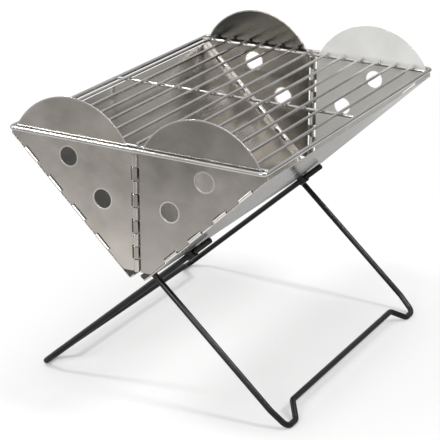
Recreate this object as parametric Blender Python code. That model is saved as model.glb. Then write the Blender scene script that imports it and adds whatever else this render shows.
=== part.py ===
"""Flatpack tabletop grill: folded sheet-steel trough, lift-off wire grate, two wire leg frames.

Metres, Z up.  The ridge of the trough runs along Y, the floor is z = 0 and x = 0 is the
middle between the two side panels.  Angles are in degrees unless a name says otherwise.
"""
import math
from collections import Counter

import bpy
import numpy as np
from mathutils import Vector
from mathutils.geometry import tessellate_polygon

# driving dimensions
# trough
SHEET = 0.0008                # sheet thickness of every panel
SLOPE_DEG = 43.6              # side panels, measured up from the floor
RIDGE_HEIGHT = 0.1481         # axis of the ridge hinge
RIDGE_FLANGE = 0.0113         # bent-up foot of a side panel, from its sheet to the ridge axis
FLANGE_BEND_RADIUS = 0.0012   # middle of the sheet
SIDE_HALF_WIDTH = 0.1350      # rim of a side panel, from the middle
END_PANEL_Y = 0.1825          # mid-plane of an end panel
SHOULDER_RISE = 0.0050        # shoulder of an end panel above the rims of the side panels
SHOULDER_OVERHANG = 0.0012    # shoulder beyond the rim of a side panel
SIDE_END_OVERHANG = 0.0006    # ends of a side panel beyond the middle of the end panels
RIM_EDGE_CLEARANCE = 0.0004   # shoulder above the rim of a side panel
END_PANEL_LIFT = 0.0155       # lower edge of an end panel above the line where the panels would meet

# flap above each end panel
FLAP_INNER_INSET = 0.0060
FLAP_OUTER_INSET = 0.0026
FLAP_RISE_SHARE = 0.304       # of the half width
FLAP_STEPS = 40

# vent holes, two in each end panel, as shares of the half width and of the height
VENT_DIAMETER_SHARE = 0.137
VENT_HIGH_SHARES = (0.538, 0.8745)
VENT_LOW_SHARES = (0.268, 0.6095)
VENT_STEPS = 36

# slant hinges: tabs of the side panels curl inward round a strip of the end panels
TAB_COUNT = 4
TAB_FIRST_SHARE = 0.2855      # middle of the lowest tab, share of the slope
TAB_PITCH_SHARE = 0.1907
TAB_WIDTH_SHARE = 0.0932
SLOT_END_CLEARANCE = 0.0008
CURL_INNER_RADIUS = 0.0011
STRIP_WIDTH = 0.0013
SLOT_DEPTH = 0.0022
TAB_STRAIGHT = 0.0005         # plain part of a tab before its curl starts
TAB_RELIEF = 0.0008           # cut on both sides of a tab, so that it can be rolled
CURL_SWEEP_DEG = 264.0
CURL_STEP_DEG = 18.0

# centre hinges of the end panels
CENTRE_KNUCKLES = 9
CENTRE_HINGE_DROP = 0.0018    # top of the hinge below the shoulder
CENTRE_BARREL_BORE = 0.0020   # radius
CENTRE_EDGE_CLEARANCE = 0.0017
CENTRE_PIN_CLEARANCE = 0.0011
CENTRE_PIN_HEAD_RADIUS = 0.0024
CENTRE_PIN_HEAD = 0.0009
KNUCKLE_GAP = 0.0008
BARREL_SWEEP_DEG = 288.0

# ridge hinge of the side panels
RIDGE_KNUCKLES = 13
RIDGE_HINGE_SHARE = 0.926     # of the distance between the end panels
RIDGE_BARREL_BORE = 0.0019    # radius
RIDGE_EDGE_CLEARANCE = 0.0021
RIDGE_PIN_CLEARANCE = 0.0004

# grate
RIM_WIRE_RADIUS = 0.0022
RIM_SIDE_OVERHANG = 0.0004    # rim wire axis beyond the rims of the side panels
RIM_END_OVERHANG = 0.0040     # rim wire axis beyond the end panels
RIM_CORNER_RADIUS = 0.0050
ROD_RADIUS = 0.0017
END_ROD_INSET = 0.0067        # end rods inside the end panels
BAR_RADIUS = 0.0015
BAR_COUNT = 13
BAR_FIELD_SHARE = 0.886       # outermost bar, share of the rim's half width
BAR_OVERHANG = 0.0022

# leg frames
LEG_WIRE_RADIUS = 0.0030
LEG_LEAN_DEG = 1.77           # flatter than the side panels
LEG_CROSSING_DROP = 0.004696  # crossing of the frames' axes below the line where the panels would meet
LEG_TOP = 0.0525              # above the crossing of the two frames, along the wire
ARM_STRAIGHT = 0.0500         # plain top part of an arm
FOOT_FLAT_DEPTH = 0.0004      # pressed flat under each foot
FOOT_RUN = (0.0038, 0.0209, 0.0370)
CROSSBAR_RECESS = 0.0160      # foot: cross bar above the lowest point, along the wire plane
FOOT_BEND_START = 0.0220
FOOT_BEND_RADII = (0.0200, 0.0080, 0.0070, 0.0060)
ARM_BEND_RADIUS = 0.0300
FRONT_TOP_INSET = 0.0295      # arms from the end panels, at the top and at the foot
FRONT_FOOT_INSET = 0.0295
REAR_TOP_INSET = 0.0630
REAR_FOOT_INSET = 0.0305
LEG_SHIFT = 0.0060            # both frames sit this far towards the far end

# leg sockets and stop collars
SOCKET_DROP = 0.0230          # wire that stands out above a socket
SOCKET_LENGTH = 0.0060
SOCKET_SHEET = 0.0012
SOCKET_FOOT = 0.0040
SOCKET_BORE_GAP = 0.0004      # more than SLIDE_GAP, because a leg wire lies at a slight angle in it
COLLAR_LENGTH = 0.0040
COLLAR_WALL = 0.0012
COLLAR_OPEN_DEG = 30.0        # both lips of a collar, below the level of the wire's axis

# clearances between neighbours
SEAT_GAP = 0.0003
SLIDE_GAP = 0.0003
COLLAR_GAP = 0.0005           # between a collar and its socket, which stands at a slight angle

# roundness
WIRE_SIDES = 16
ARC_STEPS = 12
BAR_SIDES = 12
BEND_STEP_DEG = 12.0
SHEET_SHARP_DEG = 30.0
WELD_DIGITS = 8               # decimals of a metre that two points share when they are one
WIRE_SHARP_DEG = 40.0

# derived sizes
HALF_SHEET = SHEET / 2
SLOPE = math.radians(SLOPE_DEG)
UP_X = math.cos(SLOPE)
UP_Z = math.sin(SLOPE)
VEE_HEIGHT = RIDGE_HEIGHT - RIDGE_FLANGE / UP_X
RIDGE_FOOT = RIDGE_FLANGE * UP_Z / UP_X
PANEL_START = RIDGE_FOOT + FLANGE_BEND_RADIUS
FLANGE_START = RIDGE_FLANGE - FLANGE_BEND_RADIUS
PANEL_REACH = SIDE_HALF_WIDTH / UP_X
SIDE_RIM_HEIGHT = VEE_HEIGHT + PANEL_REACH * UP_Z
SHOULDER_HEIGHT = SIDE_RIM_HEIGHT + SHOULDER_RISE
SHOULDER_HALF_WIDTH = SIDE_HALF_WIDTH + SHOULDER_OVERHANG
END_PANEL_BOTTOM = VEE_HEIGHT + END_PANEL_LIFT
END_PANEL_HEIGHT = SHOULDER_HEIGHT - VEE_HEIGHT
FLAP_OUTER = SIDE_HALF_WIDTH - FLAP_OUTER_INSET
FLAP_RISE = FLAP_RISE_SHARE * SIDE_HALF_WIDTH
VENT_RADIUS = VENT_DIAMETER_SHARE * SIDE_HALF_WIDTH / 2
TAB_WIDTH = TAB_WIDTH_SHARE * PANEL_REACH
SLOT_WIDTH = TAB_WIDTH + 2 * SLOT_END_CLEARANCE
CURL_RADIUS = CURL_INNER_RADIUS + HALF_SHEET
PANEL_END = END_PANEL_Y + SIDE_END_OVERHANG
TAB_ROOT = END_PANEL_Y - TAB_STRAIGHT
STRIP_OUTER = CURL_RADIUS - STRIP_WIDTH / 2
STRIP_INNER = CURL_RADIUS + STRIP_WIDTH / 2
SLOT_INNER = STRIP_INNER + SLOT_DEPTH
CENTRE_HINGE_TOP = SHOULDER_HEIGHT - CENTRE_HINGE_DROP
CENTRE_KNUCKLE_PITCH = (CENTRE_HINGE_TOP - END_PANEL_BOTTOM) / CENTRE_KNUCKLES
CENTRE_BARREL_RADIUS = CENTRE_BARREL_BORE + HALF_SHEET
CENTRE_EDGE = CENTRE_BARREL_BORE + SHEET + CENTRE_EDGE_CLEARANCE
CENTRE_PIN_RADIUS = CENTRE_BARREL_BORE - CENTRE_PIN_CLEARANCE
RIDGE_KNUCKLE_PITCH = RIDGE_HINGE_SHARE * 2 * END_PANEL_Y / RIDGE_KNUCKLES
RIDGE_BARREL_RADIUS = RIDGE_BARREL_BORE + HALF_SHEET
RIDGE_EDGE = RIDGE_BARREL_BORE + SHEET + RIDGE_EDGE_CLEARANCE
RIDGE_PIN_RADIUS = RIDGE_BARREL_BORE - RIDGE_PIN_CLEARANCE
RIM_HALF_WIDTH = SIDE_HALF_WIDTH + RIM_SIDE_OVERHANG
RIM_HALF_LENGTH = END_PANEL_Y + RIM_END_OVERHANG
RIM_WIRE_Z = SHOULDER_HEIGHT + SEAT_GAP + RIM_WIRE_RADIUS
END_ROD_Y = END_PANEL_Y - END_ROD_INSET
BAR_PITCH = 2 * BAR_FIELD_SHARE * RIM_HALF_WIDTH / (BAR_COUNT - 1)
BAR_Z = RIM_WIRE_Z + ROD_RADIUS + SEAT_GAP + BAR_RADIUS
BAR_HALF_LENGTH = END_ROD_Y + BAR_OVERHANG
LEG_SLOPE = math.radians(SLOPE_DEG - LEG_LEAN_DEG)
CROSSING_HEIGHT = VEE_HEIGHT - LEG_CROSSING_DROP
LEG_X = math.cos(LEG_SLOPE)
LEG_Z = math.sin(LEG_SLOPE)
FOOT_AXIS_HEIGHT = LEG_WIRE_RADIUS - FOOT_FLAT_DEPTH
FOOT_DISTANCE = (CROSSING_HEIGHT - FOOT_AXIS_HEIGHT) / LEG_Z
SOCKET_TOP = LEG_TOP - SOCKET_DROP
SOCKET_BOTTOM = SOCKET_TOP - SOCKET_LENGTH


# helpers
def clear_scene():
    """Remove every object of the start file."""
    for old in list(bpy.data.objects):
        bpy.data.objects.remove(old, do_unlink=True)


def material(name, colour, roughness, metallic):
    """A Principled material with three plain values."""
    made = bpy.data.materials.new(name)
    made.use_nodes = True
    shader = made.node_tree.nodes["Principled BSDF"]
    shader.inputs["Base Color"].default_value = (*colour, 1.0)
    shader.inputs["Roughness"].default_value = roughness
    shader.inputs["Metallic"].default_value = metallic
    return made


def volume(points, faces):
    """Signed volume inside a closed skin, positive when its faces point outward."""
    total = 0.0
    for face in faces:
        first = points[face[0]]
        for k in range(1, len(face) - 1):
            total += float(np.dot(first, np.cross(points[face[k]], points[face[k + 1]]))) / 6
    return total


def add_body(name, points, faces, look, smooth_deg):
    """Turn points and faces into one named object, faces outward."""
    points = [np.array(p, dtype=float) for p in points]
    if volume(points, faces) < 0:
        faces = [face[::-1] for face in faces]
    mesh = bpy.data.meshes.new(name)
    mesh.from_pydata([tuple(p) for p in points], [], faces)
    mesh.update()
    mesh.materials.append(look)
    body = bpy.data.objects.new(name, mesh)
    bpy.context.scene.collection.objects.link(body)
    mesh.shade_smooth()
    mesh.set_sharp_from_angle(angle=math.radians(smooth_deg))
    return body


def arc_path(centre_run, centre_lift, radius, start_deg, end_deg, step_deg):
    """Steps (run, lift, heading) along an arc that turns left, heading in radians."""
    count = max(2, math.ceil((end_deg - start_deg) / step_deg))
    path = []
    for heading in np.radians(np.linspace(start_deg, end_deg, count + 1)):
        run = centre_run + radius * math.sin(heading)
        lift = centre_lift - radius * math.cos(heading)
        path.append((run, lift, heading))
    return path


def barrel_path(edge, radius, sweep_deg, step_deg):
    """Steps of a tab that leaves its sheet and wraps round an axis in the sheet's plane.

    The tab dips to the tangent of the barrel, sin(dip) = radius / edge, and turns round it.
    """
    dip_deg = math.degrees(math.asin(radius / edge))
    return arc_path(edge, 0.0, radius, -dip_deg, sweep_deg - dip_deg, step_deg)


def curl_path():
    """Steps of a slant-hinge tab: a short plain part, then inward round the strip."""
    outward = arc_path(TAB_STRAIGHT, CURL_RADIUS, CURL_RADIUS, 0.0, CURL_SWEEP_DEG, CURL_STEP_DEG)
    return [(run, -lift, -heading) for run, lift, heading in outward]


def flange_path():
    """Steps of the right-angle bend between a side panel and its ridge flange."""
    quarter = arc_path(0.0, FLANGE_BEND_RADIUS, FLANGE_BEND_RADIUS, 0.0, 90.0, CURL_STEP_DEG)
    return [(run, -lift, -heading) for run, lift, heading in quarter]


def circle_loop(centre_u, centre_v, radius, steps):
    """Clockwise points of a round hole."""
    loop = []
    for k in range(steps):
        turn = -2 * math.pi * k / steps
        loop.append((centre_u + radius * math.cos(turn), centre_v + radius * math.sin(turn)))
    return loop


def fill_loops(loops):
    """Triangles over an outline with holes, as indices into the joined loops."""
    outlines = [[Vector((u, v, 0)) for u, v in loop] for loop in loops]
    return [tuple(tri) for tri in tessellate_polygon(outlines)]


def signed_area(flat, tri):
    """Twice the signed area of one triangle."""
    (ax, ay), (bx, by), (cx, cy) = (flat[k] for k in tri)
    return (bx - ax) * (cy - ay) - (by - ay) * (cx - ax)


def sheet_skin(outline, holes, tabs, place):
    """Points and faces of a flat blank with holes whose tabs are bent along their paths.

    outline is counter-clockwise in (u, v).  tabs maps the index of an outline edge to the
    steps (run, lift, heading) of its strip.  place turns (u, v, lift) into metres.
    """
    loops = [outline] + holes
    flat = [p for loop in loops for p in loop]
    points = [place(u, v, HALF_SHEET) for u, v in flat]
    points += [place(u, v, -HALF_SHEET) for u, v in flat]
    under = len(flat)
    faces = []
    for tri in fill_loops(loops):
        if signed_area(flat, tri) < 0:
            tri = tri[::-1]
        faces.append(tri)
        faces.append(tuple(under + k for k in tri[::-1]))
    start = 0
    for loop in loops:
        count = len(loop)
        for k in range(count):
            a = start + k
            b = start + (k + 1) % count
            if start == 0 and k in tabs:
                bend_tab(points, faces, flat, (a, b, under), tabs[k], place)
            else:
                faces.append((a, a + under, b + under, b))
        start += count
    return points, faces


def join_skins(first, second):
    """Join two skins that share one end face: weld its corners and leave the face out."""
    points = list(first[0])
    seats = {tuple(np.round(point, WELD_DIGITS)): k for k, point in enumerate(points)}
    moved = []
    for point in second[0]:
        seat = seats.get(tuple(np.round(point, WELD_DIGITS)))
        if seat is None:
            seat = len(points)
            points.append(point)
        moved.append(seat)
    faces = list(first[1]) + [tuple(moved[k] for k in face) for face in second[1]]
    shared = Counter(frozenset(face) for face in faces)
    return points, [face for face in faces if shared[frozenset(face)] == 1]


def bend_tab(points, faces, flat, root, path, place):
    """Add the bent strip that grows from one outline edge."""
    a, b, under = root
    start = np.array(flat[a])
    end = np.array(flat[b])
    along = (end - start) / np.linalg.norm(end - start)
    out = np.array((along[1], -along[0]))
    row = (a, b, a + under, b + under)
    for run, lift, heading in path:
        fresh = len(points)
        for side in (1, -1):
            shift_run = run - side * HALF_SHEET * math.sin(heading)
            shift_lift = lift + side * HALF_SHEET * math.cos(heading)
            for corner in (start, end):
                u, v = corner + out * shift_run
                points.append(place(u, v, shift_lift))
        new = (fresh, fresh + 1, fresh + 2, fresh + 3)
        faces.append((row[1], row[0], new[0], new[1]))
        faces.append((row[2], row[3], new[3], new[2]))
        faces.append((row[0], row[2], new[2], new[0]))
        faces.append((row[3], row[1], new[1], new[3]))
        row = new
    faces.append((row[0], row[2], row[3], row[1]))


def round_corners(corners, closed):
    """Points of a bent wire: corners are (u, v, bend radius), bends become arcs."""
    count = len(corners)
    track = []
    for k, (u, v, radius) in enumerate(corners):
        here = np.array((u, v))
        if not closed and k in (0, count - 1):
            track.append(here)
            continue
        before = np.array(corners[k - 1][:2]) - here
        after = np.array(corners[(k + 1) % count][:2]) - here
        before /= np.linalg.norm(before)
        after /= np.linalg.norm(after)
        half = math.acos(float(np.clip(before @ after, -1, 1))) / 2
        reach = radius / math.tan(half)
        middle = here + (before + after) / np.linalg.norm(before + after) * radius / math.sin(half)
        first = here + before * reach - middle
        last = here + after * reach - middle
        turn = math.pi - 2 * half
        steps = max(2, math.ceil(math.degrees(turn) / BEND_STEP_DEG))
        for j in range(steps + 1):
            share = j / steps
            mix = first * math.sin((1 - share) * turn) + last * math.sin(share * turn)
            track.append(middle + mix / math.sin(turn))
    return track


def skin_rings(name, points, rings, sides, closed, look):
    """Skin a row of equal rings; an open row gets two end discs."""
    faces = []
    for k in range(rings if closed else rings - 1):
        ring = k * sides
        following = (k + 1) % rings * sides
        for j in range(sides):
            i = (j + 1) % sides
            faces.append((ring + j, ring + i, following + i, following + j))
    if not closed:
        faces.append(tuple(range(sides))[::-1])
        faces.append(tuple(range((rings - 1) * sides, rings * sides)))
    return add_body(name, points, faces, look, WIRE_SHARP_DEG)


def wire_body(name, track, closed, radius, sides, place, look):
    """A round wire along a flat track; place turns (u, v, lift) into metres."""
    count = len(track)
    points = []
    for k, here in enumerate(track):
        ahead = track[(k + 1) % count] if closed or k < count - 1 else here
        behind = track[k - 1] if closed or k > 0 else here
        into = here - behind
        out = ahead - here
        into = into / np.linalg.norm(into) if np.any(into) else out / np.linalg.norm(out)
        out = out / np.linalg.norm(out) if np.any(out) else into
        tangent = (into + out) / np.linalg.norm(into + out)
        stretch = 1 / float(tangent @ into)
        normal = np.array((-tangent[1], tangent[0])) * stretch
        for j in range(sides):
            turn = 2 * math.pi * (j + 0.5) / sides
            u, v = here + normal * radius * math.cos(turn)
            points.append(place(u, v, radius * math.sin(turn)))
    return skin_rings(name, points, count, sides, closed, look)


def revolve(name, profile, start, axis, sides, look):
    """A turned piece: profile is (along, radius)."""
    start = np.array(start, dtype=float)
    axis = np.array(axis, dtype=float)
    helper = np.eye(3)[int(np.argmin(np.abs(axis)))]
    first = np.cross(axis, helper)
    first /= np.linalg.norm(first)
    second = np.cross(axis, first)
    points = []
    for along, radius in profile:
        for j in range(sides):
            turn = 2 * math.pi * (j + 0.5) / sides
            ray = first * math.cos(turn) + second * math.sin(turn)
            points.append(start + axis * along + ray * radius)
    return skin_rings(name, points, len(profile), sides, False, look)


# placements
def side_place(hand):
    """(distance up the slope, y, lift to the outside) of a side panel; hand is +1 right.

    The slope starts on the line where the sheets of both side panels would meet.
    """
    def place(reach, y, lift):
        x = hand * (reach * UP_X + lift * UP_Z)
        return (x, y, VEE_HEIGHT + reach * UP_Z - lift * UP_X)
    return place


def flange_place(hand):
    """(distance from the ridge axis, y, lift to the outside) of a side panel's flange."""
    panel = side_place(hand)

    def place(apart, y, lift):
        return panel(RIDGE_FOOT - lift, y, apart - RIDGE_FLANGE)
    return place


def end_place(hand, end):
    """(x from the middle, z, lift to the outside) of an end panel; end is -1 near, +1 far."""
    def place(x, z, lift):
        return (hand * x, end * (END_PANEL_Y + lift), z)
    return place


def slope_point(reach, inward):
    """(x, z) of a point at a distance up the slope and inward from a side panel's middle."""
    return (reach * UP_X - inward * UP_Z, VEE_HEIGHT + reach * UP_Z + inward * UP_X)


def grate_place(u, v, lift):
    """(x, y, lift) of the grate's rim."""
    return (u, v, RIM_WIRE_Z + lift)


def leg_place(hand):
    """(y, distance below the crossing, lift) of a leg frame that stands on side -hand."""
    def place(y, drop, lift):
        x = -hand * (drop * LEG_X - lift * LEG_Z)
        z = CROSSING_HEIGHT - drop * LEG_Z - lift * LEG_X
        return (x, y, max(z, 0.0))
    return place


# panels
def tab_middles():
    """Distances up the slope of the tabs of one slant hinge."""
    shares = [TAB_FIRST_SHARE + k * TAB_PITCH_SHARE for k in range(TAB_COUNT)]
    return [share * PANEL_REACH for share in shares]


def ridge_spans(parity):
    """(start, end) along Y of every other knuckle of the ridge hinge."""
    first = -RIDGE_KNUCKLES * RIDGE_KNUCKLE_PITCH / 2
    spans = []
    for k in range(parity, RIDGE_KNUCKLES, 2):
        low = first + k * RIDGE_KNUCKLE_PITCH + KNUCKLE_GAP / 2
        spans.append((low, low + RIDGE_KNUCKLE_PITCH - KNUCKLE_GAP))
    return spans


def add_tab(outline, tabs, middle, course):
    """Extend a side panel's outline past one tab; course is +1 up the slope at the near end."""
    end = -course
    half = TAB_WIDTH / 2
    wide = half + TAB_RELIEF
    outline.append((middle - course * wide, end * PANEL_END))
    outline.append((middle - course * wide, end * TAB_ROOT))
    outline.append((middle - course * half, end * TAB_ROOT))
    tabs[len(outline) - 1] = curl_path()
    outline.append((middle + course * half, end * TAB_ROOT))
    outline.append((middle + course * wide, end * TAB_ROOT))
    outline.append((middle + course * wide, end * PANEL_END))


def ridge_flange(hand, parity):
    """Points and faces of a side panel's flange, with its knuckles of the ridge hinge."""
    outline = [(FLANGE_START, PANEL_END), (RIDGE_EDGE, PANEL_END)]
    tabs = {}
    for low, high in reversed(ridge_spans(parity)):
        outline.append((RIDGE_EDGE, high))
        tabs[len(outline) - 1] = barrel_path(RIDGE_EDGE, RIDGE_BARREL_RADIUS, BARREL_SWEEP_DEG,
                                             CURL_STEP_DEG)
        outline.append((RIDGE_EDGE, low))
    outline += [(RIDGE_EDGE, -PANEL_END), (FLANGE_START, -PANEL_END)]
    return sheet_skin(outline, [], tabs, flange_place(hand))


def side_panel(name, hand, parity, look):
    """One side of the trough, with its slant-hinge tabs and its flange at the ridge."""
    outline = [(PANEL_REACH, PANEL_END)]
    tabs = {}
    for middle in reversed(tab_middles()):
        add_tab(outline, tabs, middle, -1)
    outline.append((PANEL_START, PANEL_END))
    tabs[len(outline) - 1] = flange_path()
    outline.append((PANEL_START, -PANEL_END))
    for middle in tab_middles():
        add_tab(outline, tabs, middle, 1)
    outline.append((PANEL_REACH, -PANEL_END))
    slope = sheet_skin(outline, [], tabs, side_place(hand))
    points, faces = join_skins(slope, ridge_flange(hand, parity))
    return add_body(name, points, faces, look, SHEET_SHARP_DEG)


def flap_arc():
    """Points of the flap's arc from its outer end to its inner end."""
    half = (FLAP_OUTER - FLAP_INNER_INSET) / 2
    middle = (FLAP_OUTER + FLAP_INNER_INSET) / 2
    radius = (half * half + FLAP_RISE * FLAP_RISE) / (2 * FLAP_RISE)
    centre_z = SHOULDER_HEIGHT + FLAP_RISE - radius
    limit = math.asin(half / radius)
    arc = []
    for turn in np.linspace(limit, -limit, FLAP_STEPS + 1):
        arc.append((middle + radius * math.sin(turn), centre_z + radius * math.cos(turn)))
    return arc


def centre_spans(parity):
    """(bottom, top) heights of every other knuckle of a centre hinge."""
    spans = []
    for k in range(parity, CENTRE_KNUCKLES, 2):
        top = CENTRE_HINGE_TOP - k * CENTRE_KNUCKLE_PITCH - KNUCKLE_GAP / 2
        spans.append((top - CENTRE_KNUCKLE_PITCH + KNUCKLE_GAP, top))
    return spans


def strip_slot(middle):
    """The slot behind one hinge strip, clockwise."""
    low = middle - SLOT_WIDTH / 2
    high = middle + SLOT_WIDTH / 2
    return [slope_point(low, STRIP_INNER), slope_point(low, SLOT_INNER),
            slope_point(high, SLOT_INNER), slope_point(high, STRIP_INNER)]


def end_panel(name, hand, end, parity, look):
    """One of the four end panels: flap, vents, hinge strips and centre knuckles."""
    foot_reach = (END_PANEL_LIFT - STRIP_OUTER * UP_X) / UP_Z
    rim_reach = PANEL_REACH + RIM_EDGE_CLEARANCE
    beyond_rim = (SHOULDER_HALF_WIDTH - rim_reach * UP_X) / UP_Z
    outline = [slope_point(foot_reach, STRIP_OUTER)]
    outline.append(slope_point(rim_reach, STRIP_OUTER))
    outline.append(slope_point(rim_reach, -beyond_rim))
    outline.append((SHOULDER_HALF_WIDTH, SHOULDER_HEIGHT))
    outline.extend(flap_arc())
    outline.append((CENTRE_EDGE, SHOULDER_HEIGHT))
    tabs = {}
    for low, high in centre_spans(parity):
        outline.append((CENTRE_EDGE, high))
        tabs[len(outline) - 1] = barrel_path(CENTRE_EDGE, CENTRE_BARREL_RADIUS,
                                             BARREL_SWEEP_DEG, CURL_STEP_DEG)
        outline.append((CENTRE_EDGE, low))
    outline.append((CENTRE_EDGE, END_PANEL_BOTTOM))
    holes = []
    for across_share, up_share in (VENT_HIGH_SHARES, VENT_LOW_SHARES):
        centre_z = VEE_HEIGHT + up_share * END_PANEL_HEIGHT
        holes.append(circle_loop(across_share * SIDE_HALF_WIDTH, centre_z, VENT_RADIUS, VENT_STEPS))
    holes += [strip_slot(middle) for middle in tab_middles()]
    points, faces = sheet_skin(outline, holes, tabs, end_place(hand, end))
    return add_body(name, points, faces, look, SHEET_SHARP_DEG)


def centre_pin(name, end, look):
    """Pin of a centre hinge, with a flat head that rests on the top knuckle."""
    bottom = CENTRE_HINGE_TOP - CENTRE_KNUCKLES * CENTRE_KNUCKLE_PITCH
    head = CENTRE_HINGE_TOP - KNUCKLE_GAP / 2 + SEAT_GAP
    length = head - bottom
    profile = [(0.0, CENTRE_PIN_RADIUS), (length, CENTRE_PIN_RADIUS),
               (length, CENTRE_PIN_HEAD_RADIUS), (length + CENTRE_PIN_HEAD, CENTRE_PIN_HEAD_RADIUS)]
    return revolve(name, profile, (0.0, end * END_PANEL_Y, bottom), (0.0, 0.0, 1.0),
                   WIRE_SIDES, look)


def ridge_pin(name, look):
    """Pin of the ridge hinge."""
    half = RIDGE_KNUCKLES * RIDGE_KNUCKLE_PITCH / 2
    profile = [(0.0, RIDGE_PIN_RADIUS), (2 * half, RIDGE_PIN_RADIUS)]
    return revolve(name, profile, (0.0, -half, RIDGE_HEIGHT), (0.0, 1.0, 0.0),
                   WIRE_SIDES, look)


# grate
def grate_rim(look):
    """Rim wire: one closed rectangle with rounded corners."""
    corners = [(RIM_HALF_WIDTH, RIM_HALF_LENGTH, RIM_CORNER_RADIUS),
               (-RIM_HALF_WIDTH, RIM_HALF_LENGTH, RIM_CORNER_RADIUS),
               (-RIM_HALF_WIDTH, -RIM_HALF_LENGTH, RIM_CORNER_RADIUS),
               (RIM_HALF_WIDTH, -RIM_HALF_LENGTH, RIM_CORNER_RADIUS)]
    track = round_corners(corners, True)
    return wire_body("grate_rim_wire", track, True, RIM_WIRE_RADIUS, WIRE_SIDES, grate_place, look)


def grate_rod(name, y, look):
    """A cross rod between the two side wires of the rim."""
    half = RIM_HALF_WIDTH - RIM_WIRE_RADIUS - SEAT_GAP
    profile = [(0.0, ROD_RADIUS), (2 * half, ROD_RADIUS)]
    return revolve(name, profile, (-half, y, RIM_WIRE_Z), (1.0, 0.0, 0.0), WIRE_SIDES, look)


def grate_bar(index, look):
    """One of the long bars that the food lies on."""
    x = (index - (BAR_COUNT - 1) / 2) * BAR_PITCH
    profile = [(0.0, BAR_RADIUS), (2 * BAR_HALF_LENGTH, BAR_RADIUS)]
    return revolve(f"grate_bar_{index + 1:02d}", profile, (x, -BAR_HALF_LENGTH, BAR_Z),
                   (0.0, 1.0, 0.0), BAR_SIDES, look)


# legs
def foot_corners(side, half_span):
    """Corners of one foot, from the arm round the foot to the cross bar."""
    places = [
        (half_span, FOOT_DISTANCE - FOOT_BEND_START),
        (half_span - FOOT_RUN[0], FOOT_DISTANCE),
        (half_span - FOOT_RUN[1], FOOT_DISTANCE),
        (half_span - FOOT_RUN[2], FOOT_DISTANCE - CROSSBAR_RECESS),
    ]
    return [(side * y + LEG_SHIFT, drop, radius)
            for (y, drop), radius in zip(places, FOOT_BEND_RADII)]


def leg_frame(name, hand, top_span, foot_span, look):
    """One bent wire: two arms, two feet and the cross bar between them."""
    corners = []
    for side in (1, -1):
        top = side * top_span + LEG_SHIFT
        half = [(top, -LEG_TOP, ARM_BEND_RADIUS)]
        if foot_span != top_span:
            half.append((top, ARM_STRAIGHT - LEG_TOP, ARM_BEND_RADIUS))
        half += foot_corners(side, foot_span)
        corners += half if side > 0 else half[::-1]
    track = round_corners(corners, False)
    return wire_body(name, track, False, LEG_WIRE_RADIUS, WIRE_SIDES, leg_place(hand), look)


def half_turn(centre, radius, start_deg, end_deg):
    """Points (sideways, lift) of an arc round a leg wire's axis, centre being the lift of the axis."""
    arc = []
    for turn in np.radians(np.linspace(start_deg, end_deg, ARC_STEPS + 1)):
        arc.append((radius * math.cos(turn), centre + radius * math.sin(turn)))
    return arc


def socket_outline(axis_lift):
    """Cross-section of a socket strap: (sideways, lift from the panel's middle), closed."""
    inner = LEG_WIRE_RADIUS + SOCKET_BORE_GAP
    outer = inner + SOCKET_SHEET
    floor = HALF_SHEET + SEAT_GAP
    top = floor + SOCKET_SHEET
    foot = outer + SOCKET_FOOT
    outline = [(foot, floor), (foot, top), (outer, top)] + half_turn(axis_lift, outer, 0.0, 180.0)
    outline += [(-outer, top), (-foot, top), (-foot, floor), (-inner, floor)]
    return outline + half_turn(axis_lift, inner, 180.0, 0.0) + [(inner, floor)]


def extrude(name, outline, place, look):
    """A bar with one cross-section: place turns (sideways, lift, 0 or 1 for its two ends) into metres."""
    count = len(outline)
    points = [place(across, lift, end) for end in (0, 1) for across, lift in outline]
    faces = []
    for tri in fill_loops([outline]):
        if signed_area(outline, tri) < 0:
            tri = tri[::-1]
        faces.append(tri[::-1])
        faces.append(tuple(count + k for k in tri))
    for k in range(count):
        i = (k + 1) % count
        faces.append((k, i, i + count, k + count))
    return add_body(name, points, faces, look, SHEET_SHARP_DEG)


def leg_socket(name, hand, y, look):
    """A strap on the outside of a side panel that a leg wire slides in."""
    middle = (SOCKET_TOP + SOCKET_BOTTOM) / 2
    axis_x = middle * LEG_X
    axis_z = CROSSING_HEIGHT + middle * LEG_Z - VEE_HEIGHT
    centre = axis_x * UP_X + axis_z * UP_Z
    axis_lift = axis_x * UP_Z - axis_z * UP_X
    ends = (centre - SOCKET_LENGTH / 2, centre + SOCKET_LENGTH / 2)
    panel = side_place(hand)
    return extrude(name, socket_outline(axis_lift),
                   lambda across, lift, end: panel(ends[end], y + across, lift), look)


def leg_collar(name, hand, y, look):
    """An open ring on a leg wire that stops it at the lower edge of its socket."""
    inner = LEG_WIRE_RADIUS + SLIDE_GAP
    outer = inner + COLLAR_WALL
    outline = half_turn(0.0, outer, -COLLAR_OPEN_DEG, 180.0 + COLLAR_OPEN_DEG)
    outline += half_turn(0.0, inner, 180.0 + COLLAR_OPEN_DEG, -COLLAR_OPEN_DEG)
    high = SOCKET_BOTTOM - COLLAR_GAP
    drops = (COLLAR_LENGTH - high, -high)
    wire = leg_place(hand)
    return extrude(name, outline, lambda across, lift, end: wire(y + across, drops[end], lift), look)


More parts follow.
